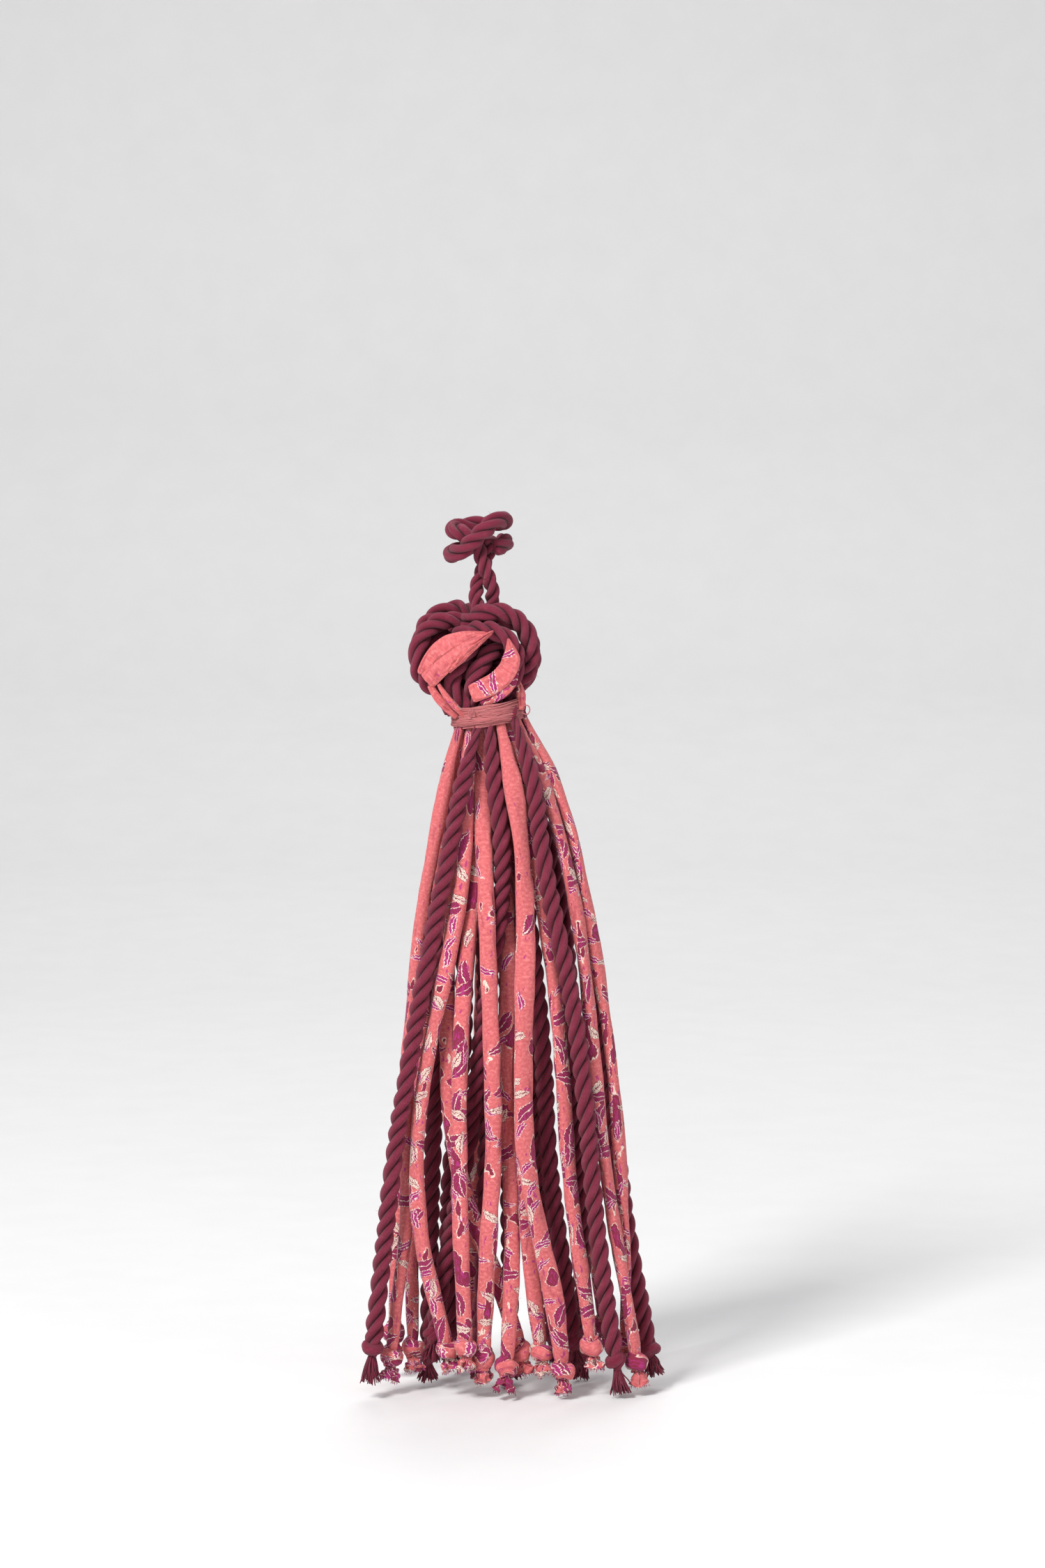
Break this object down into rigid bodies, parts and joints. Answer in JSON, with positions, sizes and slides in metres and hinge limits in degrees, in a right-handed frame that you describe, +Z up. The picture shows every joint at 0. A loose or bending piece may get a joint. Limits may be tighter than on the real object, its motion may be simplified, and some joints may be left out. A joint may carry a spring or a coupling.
{
  "type": "tassel bag charm",
  "caption": "Tassel charm of twisted cotton rope and rolled printed cotton strands, with a rope hitch for a bag strap, a knotted head and a thread binding.",
  "frame": {"origin": "centre of the strap eye, the space inside the hitch", "axes": "+Z up along the strap and the hanging charm, -Y the charm's front, +X to the right seen from the front"},
  "size_m": [0.1003, 0.0568, 0.2911],
  "materials": {
    "rope": "three-ply twisted cotton rope, burgundy",
    "rope_core": "inner passes of the burgundy rope, in shadow",
    "cotton_strip": "plain-woven salmon cotton strip, printed",
    "cotton_tube": "rolled and seamed salmon cotton with a burgundy and cream print",
    "thread": "many turns of dusty pink sewing thread",
    "bundle": "squeezed strands inside the binding"
  },
  "bodies": {
    "hitch": {"strap_hitch": "rope"},
    "neck": {"neck_rope_left": "rope", "neck_rope_right": "rope"},
    "head": {"head_rope_outer": "rope", "head_rope_inner": "rope", "head_rope_side": "rope", "head_rope_centre_upper": "rope", "head_rope_centre_lower": "rope", "rear_rope_outer": "rope", "rear_rope_inner": "rope", "rear_rope_side": "rope", "rear_rope_centre_upper": "rope", "rear_rope_centre_lower": "rope", "head_strip_upper": "cotton_strip", "head_strip_lower": "cotton_strip", "head_strip_tail": "cotton_strip", "head_core": "rope_core", "bound_bundle": "bundle", "thread_binding": "thread", "rope_strand_02": "rope", "rope_strand_04": "rope", "rope_strand_06": "rope", "rope_strand_07": "rope", "rope_strand_08": "rope", "rope_strand_09": "rope", "rope_strand_10": "rope", "fabric_strand_02": "cotton_tube", "fabric_strand_04": "cotton_tube", "fabric_strand_05": "cotton_tube", "fabric_strand_06": "cotton_tube", "fabric_strand_07": "cotton_tube", "fabric_strand_08": "cotton_tube", "fabric_strand_09": "cotton_tube"},
    "rope_free_01": {"rope_strand_01": "rope"},
    "rope_free_03": {"rope_strand_03": "rope"},
    "rope_free_05": {"rope_strand_05": "rope"},
    "rope_free_11": {"rope_strand_11": "rope"},
    "fabric_free_01": {"fabric_strand_01": "cotton_tube"},
    "fabric_free_03": {"fabric_strand_03": "cotton_tube"},
    "fabric_free_10": {"fabric_strand_10": "cotton_tube"},
    "fabric_free_11": {"fabric_strand_11": "cotton_tube"},
    "fabric_free_12": {"fabric_strand_12": "cotton_tube"},
    "fabric_free_13": {"fabric_strand_13": "cotton_tube"},
    "fabric_free_14": {"fabric_strand_14": "cotton_tube"},
    "fabric_free_15": {"fabric_strand_15": "cotton_tube"}
  },
  "joints": [
    {"name": "neck_swing", "type": "hinge", "parent": "hitch", "child": "neck", "pos_m": [0.0017, -0.0065, -0.0078], "axis": [1, 0, 0], "range_deg": [-35, 35]},
    {"name": "head_sway", "type": "hinge", "parent": "neck", "child": "head", "pos_m": [0.0017, -0.0065, -0.0166], "axis": [0, 1, 0], "range_deg": [-25, 25]},
    {"name": "lift_rope_01", "type": "hinge", "parent": "head", "child": "rope_free_01", "pos_m": [-0.001, -0.017, -0.06341], "axis": [-0.5592, 0.829, 0], "range_deg": [0, 45]},
    {"name": "lift_rope_03", "type": "hinge", "parent": "head", "child": "rope_free_03", "pos_m": [0.0125, -0.015, -0.06125], "axis": [-0.5, -0.866, 0], "range_deg": [0, 45]},
    {"name": "lift_rope_05", "type": "hinge", "parent": "head", "child": "rope_free_05", "pos_m": [0.0145, -0.003, -0.06093], "axis": [0.1908, -0.9816, 0], "range_deg": [0, 45]},
    {"name": "lift_rope_11", "type": "hinge", "parent": "head", "child": "rope_free_11", "pos_m": [0.0065, 0.004, -0.06221], "axis": [0.7986, -0.6018, 0], "range_deg": [0, 45]},
    {"name": "lift_fabric_01", "type": "hinge", "parent": "head", "child": "fabric_free_01", "pos_m": [-0.007, -0.0135, -0.06437], "axis": [-0.1564, 0.9877, 0], "range_deg": [0, 45]},
    {"name": "lift_fabric_03", "type": "hinge", "parent": "head", "child": "fabric_free_03", "pos_m": [0.0075, -0.0155, -0.06205], "axis": [-0.9336, -0.3584, 0], "range_deg": [0, 45]},
    {"name": "lift_fabric_10", "type": "hinge", "parent": "head", "child": "fabric_free_10", "pos_m": [0.0135, -0.0105, -0.06109], "axis": [-0.5, -0.866, 0], "range_deg": [0, 45]},
    {"name": "lift_fabric_11", "type": "hinge", "parent": "head", "child": "fabric_free_11", "pos_m": [0.016, -0.007, -0.06069], "axis": [-0.1392, -0.9903, 0], "range_deg": [0, 45]},
    {"name": "lift_fabric_12", "type": "hinge", "parent": "head", "child": "fabric_free_12", "pos_m": [-0.0075, -0.002, -0.06445], "axis": [0.0698, 0.9976, 0], "range_deg": [0, 45]},
    {"name": "lift_fabric_13", "type": "hinge", "parent": "head", "child": "fabric_free_13", "pos_m": [-0.0035, 0, -0.06381], "axis": [0.6691, 0.7431, 0], "range_deg": [0, 45]},
    {"name": "lift_fabric_14", "type": "hinge", "parent": "head", "child": "fabric_free_14", "pos_m": [0.003, 0.002, -0.06277], "axis": [0.9877, 0.1564, 0], "range_deg": [0, 45]},
    {"name": "lift_fabric_15", "type": "hinge", "parent": "head", "child": "fabric_free_15", "pos_m": [0.0095, 0.001, -0.06173], "axis": [0.4695, -0.8829, 0], "range_deg": [0, 45]}
  ]
}
